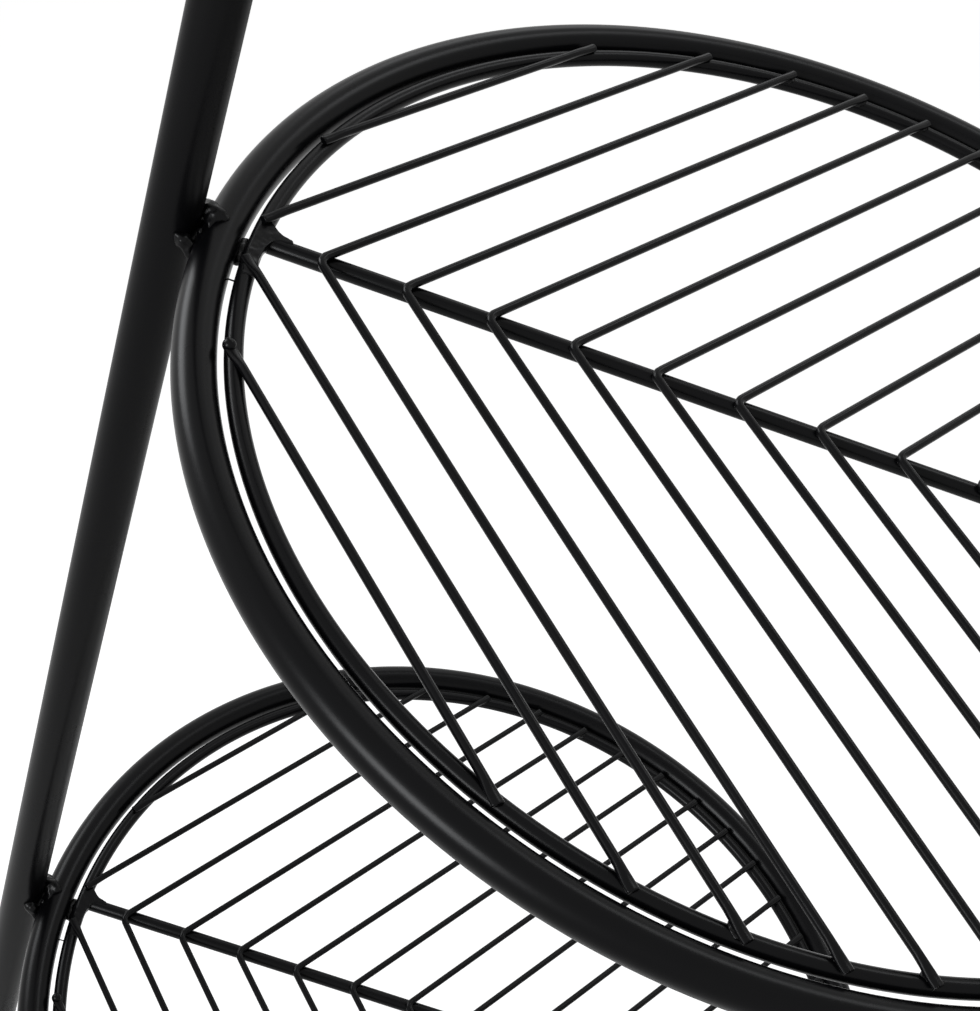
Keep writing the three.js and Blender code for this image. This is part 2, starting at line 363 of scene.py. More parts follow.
def ring(centre, side, up, radius, count):
    """Points of a circle in the plane of two unit vectors."""
    turns = [2 * math.pi * index / count for index in range(count)]
    return [centre + radius * (math.cos(turn) * side + math.sin(turn) * up) for turn in turns]


def arc(centre, across, up, radius, start, end, steps):
    """Points of an arc from one angle to another, both ends included."""
    angles = [start + (end - start) * step / steps for step in range(steps + 1)]
    return [centre + radius * (math.cos(a) * across + math.sin(a) * up) for a in angles]


def loft(mesh, rings, closed=False):
    """Skins rings. A ring of one point is a pole. A closed loft joins its last ring to its first."""
    made = [[mesh.verts.new(point) for point in points] for points in rings]
    pairs = list(zip(made, made[1:]))
    if closed:
        pairs.append((made[-1], made[0]))
    for here, there in pairs:
        count = max(len(here), len(there))
        for index in range(count):
            after = (index + 1) % count
            corners = []
            for points, place in ((here, index), (here, after), (there, after), (there, index)):
                vert = points[place if len(points) > 1 else 0]
                if vert not in corners:
                    corners.append(vert)
            mesh.faces.new(corners)


def frames_along(path, normal):
    """For each point of a flat path, the point with the two unit vectors of its cross-section."""
    found = []
    for index, point in enumerate(path):
        before = path[max(index - 1, 0)]
        after = path[min(index + 1, len(path) - 1)]
        tangent = (after - before).normalized()
        found.append((point, normal, tangent.cross(normal)))
    return found


def lip(frame, inward, radius, count, edge, turns):
    """Rings that round off a cut end, by their angles. A negative edge rounds off a bore."""
    point, side, up = frame
    found = []
    for turn in turns:
        centre = point + inward * abs(edge) * (1 - math.sin(turn))
        found.append(ring(centre, side, up, radius - edge * (1 - math.cos(turn)), count))
    return found


def skin_rings(frames, radius, count, edge):
    """Rings along a skin, with a small round on each cut end."""
    start = (frames[1][0] - frames[0][0]).normalized()
    end = (frames[-1][0] - frames[-2][0]).normalized()
    rings = lip(frames[0], start, radius, count, edge, reversed(QUARTER))
    rings += [ring(point, side, up, radius, count) for point, side, up in frames[1:-1]]
    return rings + lip(frames[-1], -end, radius, count, edge, QUARTER)


def rod_rings(path, normal, radius, count, edge):
    """Rings of a solid rod."""
    return [[path[0]]] + skin_rings(frames_along(path, normal), radius, count, edge) + [[path[-1]]]


def tube_shape(path, normal, outer, wall, count, edge):
    """An open tube, out along its skin and back along its bore."""
    frames = frames_along(path, normal)
    bore = skin_rings(frames, outer - wall, count, -edge)
    shape = bmesh.new()
    loft(shape, skin_rings(frames, outer, count, edge) + bore[::-1], closed=True)
    return shape


def mesh_from(name, shape, sharp=math.radians(50)):
    """Turns a bmesh into a mesh with faces outward, smooth but for edges sharper than the angle."""
    bmesh.ops.recalc_face_normals(shape, faces=shape.faces)
    for face in shape.faces:
        face.smooth = True
    mesh = bpy.data.meshes.new(name)
    shape.to_mesh(mesh)
    shape.free()
    if sharp:
        mesh.set_sharp_from_angle(angle=sharp)
    return mesh


def add_piece(name, mesh, finish, slot, *nodes):
    """Adds a piece with its finish, its body and the nodes that it stands for. Its slot argument is not used.
    """
    piece = bpy.data.objects.new(name, mesh)
    bpy.context.scene.collection.objects.link(piece)
    if finish and not mesh.materials:
        mesh.materials.append(material_named(finish))
    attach(piece, "root")
    if nodes:
        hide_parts(*nodes)
    return piece


def add_coated(name, mesh, *nodes):
    return add_piece(name, mesh, "satin_black_powder_coat", "powder_coat", *nodes)


def add_tube(name, node, path, normal, sizes):
    """Adds a coated tube along a flat path, open at both ends."""
    shape = tube_shape(path, normal, sizes.diameter / 2, sizes.wall, TUBE_SIDES, sizes.cut_edge)
    add_coated(name, mesh_from(name, shape), node)


def new_tree(name, inputs):
    """A Geometry Nodes tree, its input sockets and the function that adds a node to it.

    Each input is given as its name, its kind and its default.
    """
    tree = bpy.data.node_groups.new(name, "GeometryNodeTree")
    tree.interface.new_socket("Geometry", in_out="OUTPUT", socket_type="NodeSocketGeometry")
    for label, kind, default in inputs:
        socket = tree.interface.new_socket(label, in_out="INPUT", socket_type="NodeSocket" + kind)
        if default is not None:
            socket.default_value = default
    return tree, tree.nodes.new("NodeGroupInput").outputs, partial(add_node, tree)


def close_tree(add, geometry, material):
    """Ends a tree in Realize Instances and Set Material."""
    solid = add("GeometryNodeRealizeInstances", geometry)
    smooth = add("GeometryNodeSetShadeSmooth", solid)
    add("NodeGroupOutput", add("GeometryNodeSetMaterial", smooth, Material=material))


def grown(name, tree, values):
    """The plain mesh that a tree makes from these input values."""
    holder = bpy.data.objects.new(name, bpy.data.meshes.new(name))
    bpy.context.scene.collection.objects.link(holder)
    modifier = holder.modifiers.new(tree.name, "NODES")
    modifier.node_group = tree
    for item in tree.interface.items_tree:
        if item.in_out == "INPUT" and item.name in values:
            modifier[item.identifier] = values[item.name]
    evaluated = holder.evaluated_get(bpy.context.evaluated_depsgraph_get())
    mesh = bpy.data.meshes.new_from_object(evaluated)
    holder.modifiers.remove(modifier)
    empty = holder.data
    bpy.data.objects.remove(holder)
    bpy.data.meshes.remove(empty)
    mesh.name = name
    return mesh


# Geometry Nodes: the bent vein wire and the nuggets that weld it down

def pressed_end(add, skin, end, corner, radius, press):
    """Squeezes the last stretch of a wire, which gets wider and thinner and sinks onto the rod below."""
    off = add(VECTOR_MATH, add("GeometryNodeInputPosition"), end, operation="SUBTRACT")
    gap = add(VECTOR_MATH, off, operation="LENGTH", output="Value")
    fade = add(MAP_RANGE, gap, From_Min=PRESS_FULL, From_Max=PRESS_FADE, To_Min=1.0, To_Max=0.0,
               interpolation_type="SMOOTHSTEP")
    squeeze = add(MATH, fade, press, operation="MULTIPLY")
    along = add(VECTOR_MATH, end, corner, operation="SUBTRACT")
    level = add(VECTOR_MATH, along, (0, 0, 1), operation="CROSS_PRODUCT")
    across = add(VECTOR_MATH, level, operation="NORMALIZE")
    width = add(VECTOR_MATH, off, across, operation="DOT_PRODUCT", output="Value")
    widen = add(MATH, width, squeeze, operation="MULTIPLY")
    spread = add(VECTOR_MATH, across, Scale=widen, operation="SCALE")
    rise = add("ShaderNodeSeparateXYZ", off, output="Z")
    above = add(MATH, rise, radius, operation="ADD")
    flatten = add(MATH, above, PRESS_FLATTEN, operation="MULTIPLY")
    depth = add(MATH, flatten, PRESS_SINK, operation="ADD")
    lower = add(MATH, depth, squeeze, operation="MULTIPLY")
    sink = add(VECTOR_MATH, (0, 0, -1), Scale=lower, operation="SCALE")
    return add(MOVE, skin, Offset=add(VECTOR_MATH, spread, sink, operation="ADD"))


def vein_tree():
    """One wire bent to a V: a fillet at its corner, arms with a slight bow, and pressed ends."""
    tree, given, add = new_tree("Bent vein wire", [
        ("Far End", "Vector", None),
        ("Corner", "Vector", None),
        ("Near End", "Vector", None),
        ("Bend Radius", "Float", 0.003),
        ("Wire Radius", "Float", 0.0013),
        ("Far Bow", "Float", 0.0),
        ("Near Bow", "Float", 0.0),
        ("Far Press", "Float", 0.0),
        ("Near Press", "Float", 0.0),
        ("Material", "Material", None),
    ])
    index = add("GeometryNodeInputIndex")
    line = add("GeometryNodeMeshLine", Count=3)
    for number, label in enumerate(("Far End", "Corner", "Near End")):
        chosen = add(MATH, index, number, operation="COMPARE")
        line = add(MOVE, line, Selection=chosen, Position=given[label])
    curve = add("GeometryNodeMeshToCurve", line)
    fillet = add("GeometryNodeFilletCurve", curve, Count=BEND_STEPS, Radius=given["Bend Radius"],
                 Limit_Radius=True, mode="POLY")

    # The wire's rings crowd at its two ends and at its bend.
    rings = 80
    crowding = 0.95 / (4 * math.pi)
    share = add(MATH, index, rings - 1, operation="DIVIDE")
    turn = add(MATH, share, 4 * math.pi, operation="MULTIPLY")
    wave = add(MATH, add(MATH, turn, operation="SINE"), crowding, operation="MULTIPLY")
    factor = add(MATH, share, wave, operation="SUBTRACT")
    spot = add("GeometryNodeSampleCurve", fillet, Factor=factor, mode="FACTOR", output="Position")

    # Each arm bows sideways as half a sine wave, which is zero at its two welds.
    turn = add(MATH, factor, 2 * math.pi, operation="MULTIPLY")
    swing = add(MATH, turn, operation="SINE")
    bows = [add(MATH, add(MATH, swing, 0.0, operation=half), given[label], operation="MULTIPLY")
            for half, label in (("MAXIMUM", "Far Bow"), ("MINIMUM", "Near Bow"))]
    bow = add(COMBINE, X=add(MATH, *bows, operation="ADD"))
    bowed = add(MOVE, add("GeometryNodeMeshLine", Count=rings), Position=spot, Offset=bow)
    path = add("GeometryNodeMeshToCurve", bowed)
    section = add("GeometryNodeCurvePrimitiveCircle", Resolution=WIRE_SIDES, Radius=given["Wire Radius"])
    skin = add("GeometryNodeCurveToMesh", path, section, Fill_Caps=True)
    for label in ("Far", "Near"):
        end, press = given[label + " End"], given[label + " Press"]
        skin = pressed_end(add, skin, end, given["Corner"], given["Wire Radius"], press)
    close_tree(add, skin, given["Material"])
    return tree


def arm_reach(add, x, y, cosine, sine, circle):
    """Distance along an arm from its corner to a circle about the tray's middle."""
    products = [add(MATH, *pair, operation="MULTIPLY")
                for pair in ((x, cosine), (y, sine), (x, sine), (y, cosine), (circle, circle))]
    along = add(MATH, products[0], products[1], operation="ADD")
    off = add(MATH, products[2], products[3], operation="SUBTRACT")
    square = add(MATH, products[4], add(MATH, off, off, operation="MULTIPLY"), operation="SUBTRACT")
    return add(MATH, add(MATH, square, operation="SQRT"), along, operation="SUBTRACT")


def nugget_tree():
    """Small welds under each vein, at its two ends and at its bend, as squashed, uneven drops."""
    tree, given, add = new_tree("Grille weld nuggets", [
        ("Count", "Int", 13),
        ("First Corner", "Float", 0.0),
        ("Pitch", "Float", 0.02),
        ("Corner Slope", "Float", 0.0),
        ("Far Angle", "Float", 0.9),
        ("Near Angle", "Float", -0.9),
        ("Rim Radius", "Float", 0.167),
        ("Bend Offset", "Float", 0.001),
        ("Height", "Float", 0.0),
        ("Length", "Float", 0.005),
        ("Width", "Float", 0.0036),
        ("Thickness", "Float", 0.002),
        ("Seed", "Int", 1),
        ("Material", "Material", None),
    ])
    # Three points a vein: side 1 is its far end, 0 its bend and -1 its near end.
    index = add("GeometryNodeInputIndex")
    thirds = add(MATH, add(MATH, index, 0.5, operation="ADD"), 3.0, operation="DIVIDE")
    vein = add(MATH, thirds, operation="FLOOR")
    first = add(MATH, vein, 3.0, operation="MULTIPLY")
    side = add(MATH, 1.0, add(MATH, index, first, operation="SUBTRACT"), operation="SUBTRACT")
    at_end = add(MATH, side, operation="ABSOLUTE")

    # An arm's lean is half the angle between the arms on its own side, and the same skew on both.
    apart = add(MATH, given["Far Angle"], given["Near Angle"], operation="SUBTRACT")
    total = add(MATH, given["Far Angle"], given["Near Angle"], operation="ADD")
    half = add(MATH, side, add(MATH, apart, 2.0, operation="DIVIDE"), operation="MULTIPLY")
    skew = add(MATH, at_end, add(MATH, total, 2.0, operation="DIVIDE"), operation="MULTIPLY")
    lean = add(MATH, half, skew, operation="ADD")
    cosine = add(MATH, lean, operation="COSINE")
    sine = add(MATH, lean, operation="SINE")
    along = add(MATH, vein, given["Pitch"], operation="MULTIPLY")
    corner_x = add(MATH, given["First Corner"], along, operation="ADD")
    corner_y = add(MATH, corner_x, given["Corner Slope"], operation="MULTIPLY")
    reach = arm_reach(add, corner_x, corner_y, cosine, sine, given["Rim Radius"])
    out = add(MATH, at_end, reach, operation="MULTIPLY")
    in_bend = add(MATH, 1.0, at_end, operation="SUBTRACT")
    inward = add(MATH, in_bend, given["Bend Offset"], operation="MULTIPLY")
    near_x = add(MATH, corner_x, inward, operation="ADD")
    x = add(MATH, near_x, add(MATH, out, cosine, operation="MULTIPLY"), operation="ADD")
    y = add(MATH, corner_y, add(MATH, out, sine, operation="MULTIPLY"), operation="ADD")
    place = add(COMBINE, x, y, given["Height"])
    count = add(MATH, given["Count"], 3.0, operation="MULTIPLY")
    points = add("GeometryNodePoints", count, place)

    # Each drop turns and swells at random, and those in the bends are smaller.
    drop = add("GeometryNodeMeshIcoSphere", Radius=0.5, Subdivisions=4)
    size = add(COMBINE, given["Length"], given["Width"], given["Thickness"])
    swing = add(RANDOM, _2=-0.25, _3=0.25, Seed=given["Seed"], data_type="FLOAT", output=1)
    twist = add(COMBINE, Z=add(MATH, lean, swing, operation="ADD"))
    other = add(MATH, given["Seed"], 7, operation="ADD")
    swell = add(RANDOM, _2=0.8, _3=1.2, Seed=other, data_type="FLOAT", output=1)
    share = add(MATH, add(MATH, at_end, 0.4, operation="MULTIPLY"), 0.6, operation="ADD")
    scale = add(VECTOR_MATH, size, Scale=add(MATH, share, swell, operation="MULTIPLY"), operation="SCALE")
    drops = add("GeometryNodeInstanceOnPoints", points, Instance=drop, Rotation=twist, Scale=scale)
    loose = add("GeometryNodeRealizeInstances", drops)

    # The noise shakes the drops' skin out of round, by half a millimetre or so.
    spot = add("GeometryNodeInputPosition")
    rough = add(NOISE, Vector=spot, Scale=1 / (1.6 * MM), Detail=1.0, output="Color")
    centred = add(VECTOR_MATH, rough, (0.5, 0.5, 0.5), operation="SUBTRACT")
    shake = add(VECTOR_MATH, centred, Scale=1.1 * MM, operation="SCALE")
    close_tree(add, add(MOVE, loose, Offset=shake), given["Material"])
    return tree


# Weld metal laid one by one

def add_drop(shape, centre, radius):
    made = bmesh.ops.create_icosphere(shape, subdivisions=3, radius=radius)
    for vert in made["verts"]:
        vert.co += centre


def add_run(shape, points, step=0.35):
    """A run of weld metal: drops along a line of (point, radius), close enough to fuse."""
    for (start, first), (end, last) in zip(points, points[1:]):
        count = max(1, math.ceil((end - start).length / (step * min(first, last))))
        for index in range(count + 1):
            share = index / count
            add_drop(shape, start.lerp(end, share), first + (last - first) * share)


def add_plate(shape, outline, bottom, top):
    """A flat web of weld metal between two heights, from its outline."""
    low = [shape.verts.new((p.x, p.y, bottom)) for p in outline]
    high = [shape.verts.new((p.x, p.y, top)) for p in outline]
    shape.faces.new(low)
    shape.faces.new(high)
    for index in range(len(outline)):
        after = (index + 1) % len(outline)
        shape.faces.new((low[index], low[after], high[after], high[index]))


def fused(name, shape, voxel, raggedness, grain, seed):
    """Fuses overlapping closed shapes into one skin and roughens it with seeded noise."""
    bmesh.ops.recalc_face_normals(shape, faces=shape.faces)
    rough = bpy.data.meshes.new(name + "_rough")
    shape.to_mesh(rough)
    shape.free()
    holder = bpy.data.objects.new(name + "_rough", rough)
    bpy.context.scene.collection.objects.link(holder)
    remesh = holder.modifiers.new("Fuse", "REMESH")
    remesh.mode = "VOXEL"
    remesh.voxel_size = voxel
    mesh = bpy.data.meshes.new_from_object(holder.evaluated_get(bpy.context.evaluated_depsgraph_get()))
    holder.modifiers.remove(remesh)
    bpy.data.objects.remove(holder)
    bpy.data.meshes.remove(rough)
    mesh.name = name
    shape = bmesh.new()
    shape.from_mesh(mesh)
    every_axis = {"use_axis_x": True, "use_axis_y": True, "use_axis_z": True}
    for _ in range(6):
        bmesh.ops.smooth_vert(shape, verts=shape.verts, factor=0.5, **every_axis)
    shape.normal_update()
    shift = Vector((seed, 0, 0))
    bumps = [noise.fractal(vert.co / grain + shift, 0.9, 2.0, 2) for vert in shape.verts]
    moves = [vert.normal * raggedness * bump for vert, bump in zip(shape.verts, bumps)]
    for vert, move in zip(shape.verts, moves):
        vert.co += move
    for face in shape.faces:
        face.smooth = True
    shape.to_mesh(mesh)
    shape.free()
    return mesh


def add_beads(shape, side, height, *beads):
    """Runs of weld metal by a post. Each bead lists (inward from the post, y, rise, radius) in mm."""
    for bead in beads:
        run = []
        for inward, y, rise, radius in bead:
            centre = Vector((side * (POST_X - inward * MM), y * MM, height + rise * MM))
            run.append((centre, radius * MM))
        add_run(shape, run)


def post_crease_welds(shape, side, height):
    """Beads where a hoop meets a post: one over its top, one in each crease, with a hole between them."""
    over_top = (
        (8.2, 4.8, 5.0, 1.8), (9.8, 2.0, 5.8, 2.9), (12.0, 1.0, 5.9, 2.5), (14.0, 0.8, 5.5, 1.5),
        (15.6, 0.9, 5.2, 0.5),
    )
    down_side = ((10.2, 1.0, 5.6, 2.4), (10.9, -1.8, 5.0, 1.3), (11.2, -3.8, 4.6, 0.6))
    in_hole = ((8.0, 4.4, 1.0, 1.6), (8.2, 0.4, 0.2, 1.8), (8.1, -4.4, -0.8, 1.7))
    spatter = ((9.2, -4.9, 4.2, 0.6), (9.5, -5.6, 3.9, 0.7))
    near_crease = (
        (3.6, -7.4, 2.0, 1.1), (5.4, -7.4, 0.9, 2.4), (7.2, -8.0, -0.2, 2.1), (8.6, -9.6, -1.6, 1.1),
    )
    far_crease = ((4.0, 7.4, 1.2, 1.4), (6.0, 7.4, 0.2, 2.3), (8.2, 8.6, -1.0, 1.3))
    add_beads(shape, side, height, over_top, down_side, in_hole, spatter, near_crease, far_crease)


def rim_bridge_weld(shape, side, height):
    """Weld metal that fills the slit between hoop and rim for a short stretch by the post."""
    bridge = ((21.0, 1.4, -0.8, 1.8), (21.0, -2.0, -0.6, 2.0), (21.1, -5.4, -0.8, 1.8))
    add_beads(shape, side, height, bridge)


def midrib_web(shape, side, height, sizes, welds):
    """The web of weld metal where midrib and rim meet. Its outline lists (inward from the post, y) in mm."""
    outline = (
        (23.4, 9.6), (25.2, 9.4), (26.8, 7.4), (28.4, 5.4), (30.4, 4.0), (33.6, 3.2), (34.0, 1.8),
        (30.0, 1.2), (28.4, 0.2), (27.2, -2.6), (26.8, -8.0), (27.6, -13.0), (26.8, -15.6), (23.8, -15.8),
        (23.0, -8.0), (22.8, 0.0),
    )
    points = [Vector((side * (POST_X - inward * MM), y * MM, 0)) for inward, y in outline]
    top = height + sizes.rim_rise + sizes.rod_diameter / 2 + welds.web_crown
    add_plate(shape, points, height + welds.web_underside, top)
    wire_root = ((25.2, -9.0, 3.4, 1.4), (26.4, -12.0, 3.9, 1.4), (27.6, -14.0, 4.4, 1.2))
    add_beads(shape, side, height, wire_root)


# Operators

class STAND_OT_stage(bpy.types.Operator):
    """Adds the pale floor, the studio lamps, the world and the camera"""

    bl_idname = "stand.stage"
    bl_label = "Stage"

    def execute(self, context):
        scene = context.scene
        stage = scene.stand_stage
        add_floor(stage, scene.stand_colours)
        add_world(scene, stage)
        add_lamps(stage)
        add_camera(scene, stage)
        scene.view_settings.view_transform = "Standard"
        return {"FINISHED"}


def seen_background(add):
    """1 for a ray that sees the background: from the camera, or by reflection or refraction."""
    rays = add("ShaderNodeLightPath").node.outputs
    mirrored = add(MATH, rays["Is Glossy Ray"], rays["Is Transmission Ray"], operation="MAXIMUM")
    return add(MATH, rays["Is Camera Ray"], mirrored, operation="MAXIMUM")


def add_floor(stage, colours):
    material, add = new_material("pale_matt_floor")
    place = add(COORDINATES, output="Object")
    # Six cells of mottling to the metre.
    mottle = add(NOISE, Vector=place, Scale=6.0, Detail=3.0)
    dark, light = rgba(colours.floor_dark), rgba(colours.floor_light)
    shade = add(MIX, mottle, _6=dark, _7=light, data_type="RGBA", output=2)
    lift = add(MATH, seen_background(add), stage.floor_lift, operation="MULTIPLY")
    shader = add(PRINCIPLED, Base_Color=shade, Roughness=0.9, Specular_IOR_Level=0.0,
                 Emission_Color=(1, 1, 1, 1), Emission_Strength=lift)
    add(OUTPUT, Surface=shader)
    shape = bmesh.new()
    bmesh.ops.create_circle(shape, cap_ends=True, segments=96, radius=stage.floor_radius)
    mesh = bpy.data.meshes.new("floor")
    shape.to_mesh(mesh)
    shape.free()
    mesh.materials.append(material)
    floor = bpy.data.objects.new("floor", mesh)
    bpy.context.scene.collection.objects.link(floor)


def add_world(scene, stage):
    world = bpy.data.worlds.new("studio")
    world.use_nodes = True
    world.node_tree.nodes.clear()
    add = partial(add_node, world.node_tree)
    strength = add(MAP_RANGE, seen_background(add), To_Min=stage.world_light, To_Max=1.0)
    light = add("ShaderNodeBackground", Color=(1, 1, 1, 1), Strength=strength)
    add("ShaderNodeOutputWorld", Surface=light)
    scene.world = world


def add_lamps(stage):
    """Softboxes, as (name, azimuth from +X, elevation, distance, width, height, radiance)."""
    aim = Vector(stage.lamp_aim)
    # A grid narrows a lamp's cone and makes its middle brighter by this much, for the same power.
    half = stage.lamp_spread / 2
    gain = math.tan(half) / (math.tan(half) - half)
    for name, azimuth, elevation, distance, width, height, radiance in (
        ("left_front_softbox", -131, 20, 1.7, 0.76, 0.62, 22.0),
        ("left_back_softbox", 153, 12, 1.7, 0.88, 0.62, 10.5),
        ("back_softbox", 98, 20, 1.8, 0.80, 0.45, 2.0),
        ("high_back_softbox", 64, 50, 1.9, 0.48, 0.45, 6.5),
    ):
        turn, lift = math.radians(azimuth), math.radians(elevation)
        out = Vector((math.cos(lift) * math.cos(turn), math.cos(lift) * math.sin(turn), math.sin(lift)))
        lamp = bpy.data.lights.new(name, "AREA")
        lamp.shape = "RECTANGLE"
        lamp.color = stage.lamp_colour
        lamp.size = width
        lamp.size_y = height
        lamp.spread = stage.lamp_spread
        lamp.energy = stage.lamp_strength * radiance * math.pi * width * height / gain
        holder = bpy.data.objects.new(name, lamp)
        holder.location = aim + out * distance
        holder.rotation_euler = (-out).to_track_quat("-Z", "Y").to_euler()
        holder.visible_camera = False
        bpy.context.scene.collection.objects.link(holder)


def add_camera(scene, stage):
    """The camera looks down at the upper tray's left half."""
    place = Vector(stage.camera_place)
    target = Vector((*stage.camera_target, tier_height("upper")))
    camera = bpy.data.cameras.new("camera")
    camera.lens = stage.lens
    camera.clip_start = 0.01
    holder = bpy.data.objects.new("camera", camera)
    holder.location = place
    holder.rotation_mode = "QUATERNION"
    upright = (target - place).to_track_quat("-Z", "Y")
    holder.rotation_quaternion = upright @ Quaternion(Z_AXIS, stage.roll)
    scene.collection.objects.link(holder)
    scene.camera = holder


class STAND_OT_posts(bpy.types.Operator):
    """Adds the two upright tubes, coped round the feet at the bottom"""

    bl_idname = "stand.posts"
    bl_label = "Posts"

    def execute(self, context):
        sizes = context.scene.stand_tubes
        outer = sizes.diameter / 2
        foot_middle = FOOT_HIGH.z - outer
        for label, side in SIDES:
            x = side * POST_X
            path = [Vector((x, 0, z)) for z in (foot_middle, foot_middle + 2 * outer, POST_TOP)]
            shape = tube_shape(path, X_AXIS, outer, sizes.wall, POST_SIDES, sizes.cut_edge)
            cope = outer + sizes.cope_clearance
            for vert in shape.verts:
                if vert.co.z < foot_middle + outer:
                    off = vert.co.x - x
                    vert.co.z += math.sqrt(max(0.0, cope * cope - off * off))
            name = label + "_post_tube"
            add_coated(name, mesh_from(name, shape), label + "_post")
        return {"FINISHED"}


class STAND_OT_arch(bpy.types.Operator):
    """Adds the tube bent to an arch across the tops of the posts"""

    bl_idname = "stand.arch"
    bl_label = "Arch"

    def execute(self, context):
        sizes = context.scene.stand_tubes
        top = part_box("top_arch")[1].z - sizes.diameter / 2
        centre = Vector((0, 0, top - POST_X))
        path = [Vector((-POST_X, 0, ARCH_BASE))] + arc(centre, X_AXIS, Z_AXIS, POST_X, math.pi, 0, ARCH_STEPS)
        path += [Vector((POST_X, 0, ARCH_BASE))]
        add_tube("arch_tube", "top_arch", path, Y_AXIS, sizes)
        return {"FINISHED"}


class STAND_OT_feet(bpy.types.Operator):
    """Adds the two feet, each a tube bent like a staple"""

    bl_idname = "stand.feet"
    bl_label = "Feet"

    def execute(self, context):
        sizes = context.scene.stand_tubes
        outer = sizes.diameter / 2
        bend = sizes.foot_bend
        end = FOOT_HIGH.y - outer
        middle = FOOT_HIGH.z - outer
        for label, side in SIDES:
            x = side * POST_X
            far = Vector((x, end - bend, middle - bend))
            near = Vector((x, bend - end, middle - bend))
            path = [Vector((x, end, FOOT_LOW.z))]
            path += arc(far, Y_AXIS, Z_AXIS, bend, 0, math.pi / 2, BEND_STEPS)
            path += arc(near, Y_AXIS, Z_AXIS, bend, math.pi / 2, math.pi, BEND_STEPS)
            path += [Vector((x, -end, FOOT_LOW.z))]
            add_tube(label + "_foot_tube", label + "_foot", path, X_AXIS, sizes)
        return {"FINISHED"}


class STAND_OT_foot_welds(bpy.types.Operator):
    """Adds the weld bead round the joint of each post with its foot"""

    bl_idname = "stand.foot_welds"
    bl_label = "Foot welds"

    def execute(self, context):
        welds = context.scene.stand_welds
        outer = context.scene.stand_tubes.diameter / 2
        middle = FOOT_HIGH.z - outer
        off_post = outer + 0.5 * MM
        off_foot = outer + 0.9 * MM
        lift = 0.2 * MM
        drops = 34
        for label, side in SIDES:
            shape = bmesh.new()
            for index in range(drops):
                turn = 2 * math.pi * index / drops
                across = off_post * math.cos(turn)
                saddle = math.sqrt(max(0.0, off_foot ** 2 - across * across))
                centre = Vector((side * POST_X + across, off_post * math.sin(turn), middle + saddle + lift))
                add_drop(shape, centre, welds.foot_bead)
            name = label + "_foot_weld"
            mesh = fused(name, shape, welds.foot_voxel, welds.foot_roughness, welds.foot_grain, 3 + side)
            add_piece(name, mesh, "glossy_powder_coat_on_weld", "powder_coat")
        return {"FINISHED"}


class STAND_OT_ferrules(bpy.types.Operator):
    """Adds the short tubes that join the arch to the posts from inside"""

    bl_idname = "stand.ferrules"
    bl_label = "Ferrules"

    def execute(self, context):
        sizes = context.scene.stand_tubes
        outer = sizes.diameter / 2 - sizes.wall - sizes.ferrule_clearance
        for label, side in SIDES:
            node = label + "_arch_ferrule"
            low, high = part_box(node)
            path = [Vector((side * POST_X, 0, low.z)), node_middle(node), Vector((side * POST_X, 0, high.z))]
            shape = tube_shape(path, X_AXIS, outer, sizes.ferrule_wall, FERRULE_SIDES, sizes.cut_edge)
            name = label + "_ferrule_tube"
            add_piece(name, mesh_from(name, shape), "bare_drawn_steel", "bare_steel", node)
        return {"FINISHED"}


class STAND_OT_glides(bpy.types.Operator):
    """Adds the four moulded glides that plug into the feet"""

    bl_idname = "stand.glides"
    bl_label = "Glides"

    def execute(self, context):
        sizes = context.scene.stand_tubes
        flange = sizes.glide_flange / 2
        stem = sizes.diameter / 2 - sizes.wall - sizes.ferrule_clearance
        for label, _ in SIDES:
            for place in ("front", "back"):
                node = "_".join((label, place, "glide"))
                low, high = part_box(node)
                middle = (low + high) / 2
                profile = glide_profile(flange, sizes.glide_thickness, stem, high.z)
                shape = bmesh.new()
                rings = []
                for radius, z in profile:
                    centre = Vector((middle.x, middle.y, z))
                    rings.append(ring(centre, X_AXIS, Y_AXIS, radius, TUBE_SIDES) if radius else [centre])
                loft(shape, rings)
                name = "_".join((label, place, "glide_plug"))
                mesh = mesh_from(name, shape, math.radians(35))
                add_piece(name, mesh, "black_moulded_polythene", "glide_plastic", node)
        return {"FINISHED"}


def glide_profile(flange, thickness, stem, top):
    """Radius and height up a glide: a flat sole, a rounded flange and a stem with three gripping ribs."""
    round_off = 1.2 * MM
    crown = 0.6 * MM
    profile = [(0, 0), (flange - round_off, 0)]
    for step in (1, 2, 3):
        turn = math.radians(30 * step)
        out = flange - round_off + round_off * math.sin(turn)
        profile.append((out, round_off - round_off * math.cos(turn)))
    for step in (0, 1, 2, 3):
        turn = math.radians(30 * step)
        profile.append((flange - crown + crown * math.cos(turn), thickness - crown + crown * math.sin(turn)))
    core = stem - 0.7 * MM
    rib_root = 0.8 * MM
    rib_crest = 0.3 * MM
    chamfer = 0.6 * MM
    profile.append((core, thickness))
    pitch = (top - thickness) / 4
    for rib in (1, 2, 3):
        z = thickness + rib * pitch
        profile += [(core, z - rib_root), (stem, z - rib_crest), (stem, z + rib_crest), (core, z + rib_root)]
    profile += [(core, top - chamfer), (core - chamfer, top), (0, top)]
    return profile


def add_ring_shape(shape, radius, thickness, height, sides):
    """A round bar closed on itself, level at a height, about the Z axis."""
    rings = []
    for index in range(RING_STEPS):
        turn = 2 * math.pi * index / RING_STEPS
        out = Vector((math.cos(turn), math.sin(turn), 0))
        rings.append(ring(out * radius + Z_AXIS * height, out, Z_AXIS, thickness / 2, sides))
    loft(shape, rings, closed=True)


